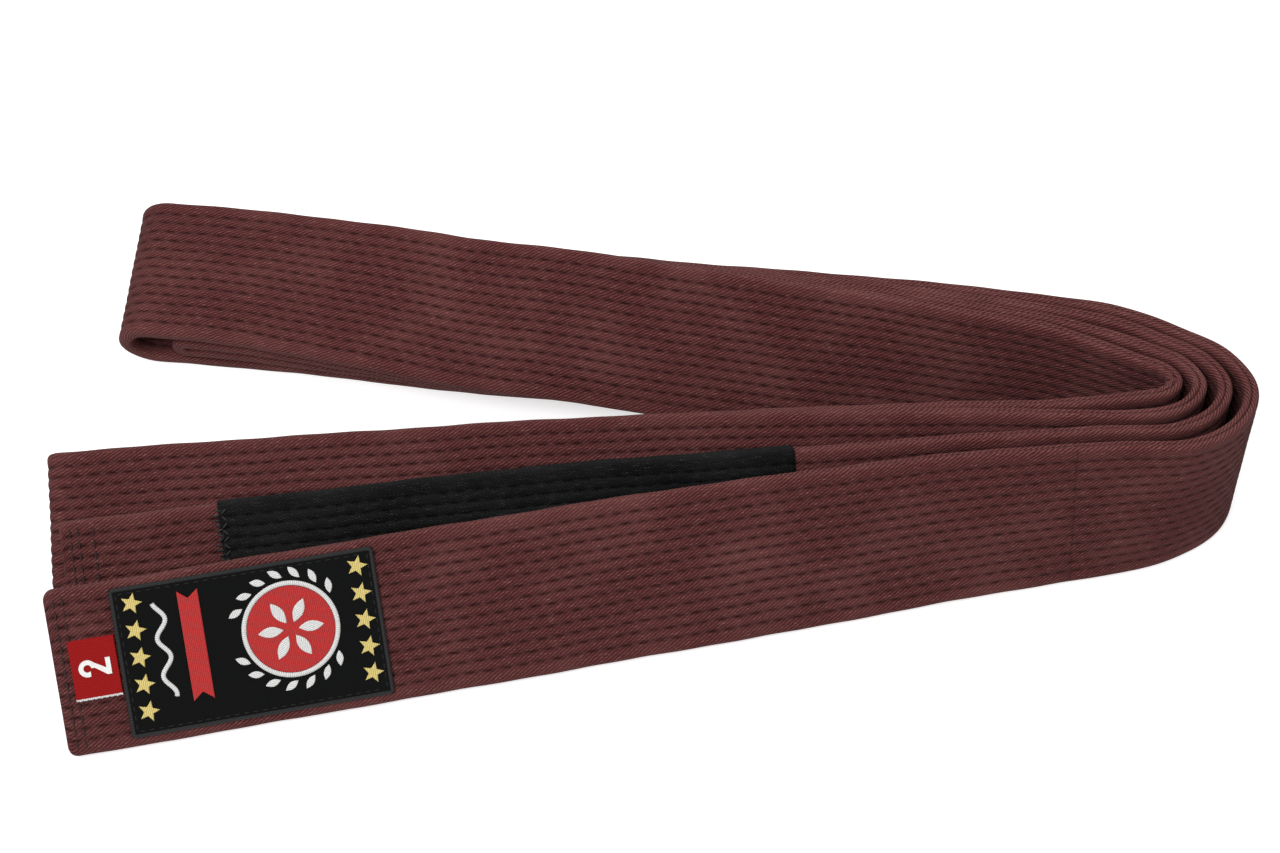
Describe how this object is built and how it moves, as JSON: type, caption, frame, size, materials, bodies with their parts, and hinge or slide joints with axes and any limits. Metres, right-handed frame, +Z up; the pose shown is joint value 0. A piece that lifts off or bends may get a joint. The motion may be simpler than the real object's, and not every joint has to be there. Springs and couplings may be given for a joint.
{
  "type": "martial arts belt",
  "caption": "Long stitched cotton belt folded into standing loops, with a black rank bar near one end and a woven patch and size label at the other",
  "frame": {"origin": "on the floor, under the middle of the belt's bounding box", "axes": "+X from the open ends towards the bend of the loops, +Y away from the face with the patch, +Z up"},
  "size_m": [0.3392, 0.1901, 0.0476],
  "materials": {
    "belt_cover": "brown cotton twill with lengthwise rows of stitching",
    "canvas": "undyed cotton canvas",
    "black_cover": "black cotton twill",
    "belt_thread": "brown sewing thread",
    "patch_black": "black woven patch",
    "gold_thread": "gold embroidery thread",
    "red_thread": "red embroidery thread",
    "white_thread": "white embroidery thread",
    "label_red": "red woven ribbon"
  },
  "bodies": {
    "loops": {"cover_loops": "belt_cover", "core_ply_inner_loops": "canvas", "core_ply_middle_loops": "canvas", "core_ply_outer_loops": "canvas"},
    "patch_end": {"cover_patch_end": "belt_cover", "core_ply_inner_patch_end": "canvas", "core_ply_middle_patch_end": "canvas", "core_ply_outer_patch_end": "canvas", "end_stitches_patch_end": "belt_thread", "patch_base": "patch_black", "patch_border": "patch_black", "patch_stars": "gold_thread", "patch_medallion": "red_thread", "patch_medallion_rim": "white_thread", "patch_rosette": "white_thread", "patch_laurel": "white_thread", "patch_banner": "red_thread", "patch_flourish": "white_thread"},
    "bar_end": {"cover_bar_end": "belt_cover", "core_ply_inner_bar_end": "canvas", "core_ply_middle_bar_end": "canvas", "core_ply_outer_bar_end": "canvas", "end_stitches_bar_end": "belt_thread", "rank_bar": "black_cover"},
    "size_label": {"size_label": "label_red", "size_numeral": "white_thread"}
  },
  "joints": [
    {"name": "patch_end_swing", "type": "hinge", "parent": "loops", "child": "patch_end", "pos_m": [0.11561, -0.03527, 0.00203], "axis": [0, 0, 1], "range_deg": [0, 35]},
    {"name": "bar_end_swing", "type": "hinge", "parent": "loops", "child": "bar_end", "pos_m": [0.11177, -0.03006, 0.00209], "axis": [0, 0, 1], "range_deg": [0, 17.5]},
    {"name": "size_label_flap", "type": "hinge", "parent": "patch_end", "child": "size_label", "pos_m": [-0.14074, -0.07766, 0.01958], "axis": [-0.1438, 0.6535, 0.7431], "range_deg": [0, 110]}
  ],
  "couplings": [
    {"joint": "bar_end_swing", "follows": "patch_end_swing", "ratio": 0.5}
  ]
}
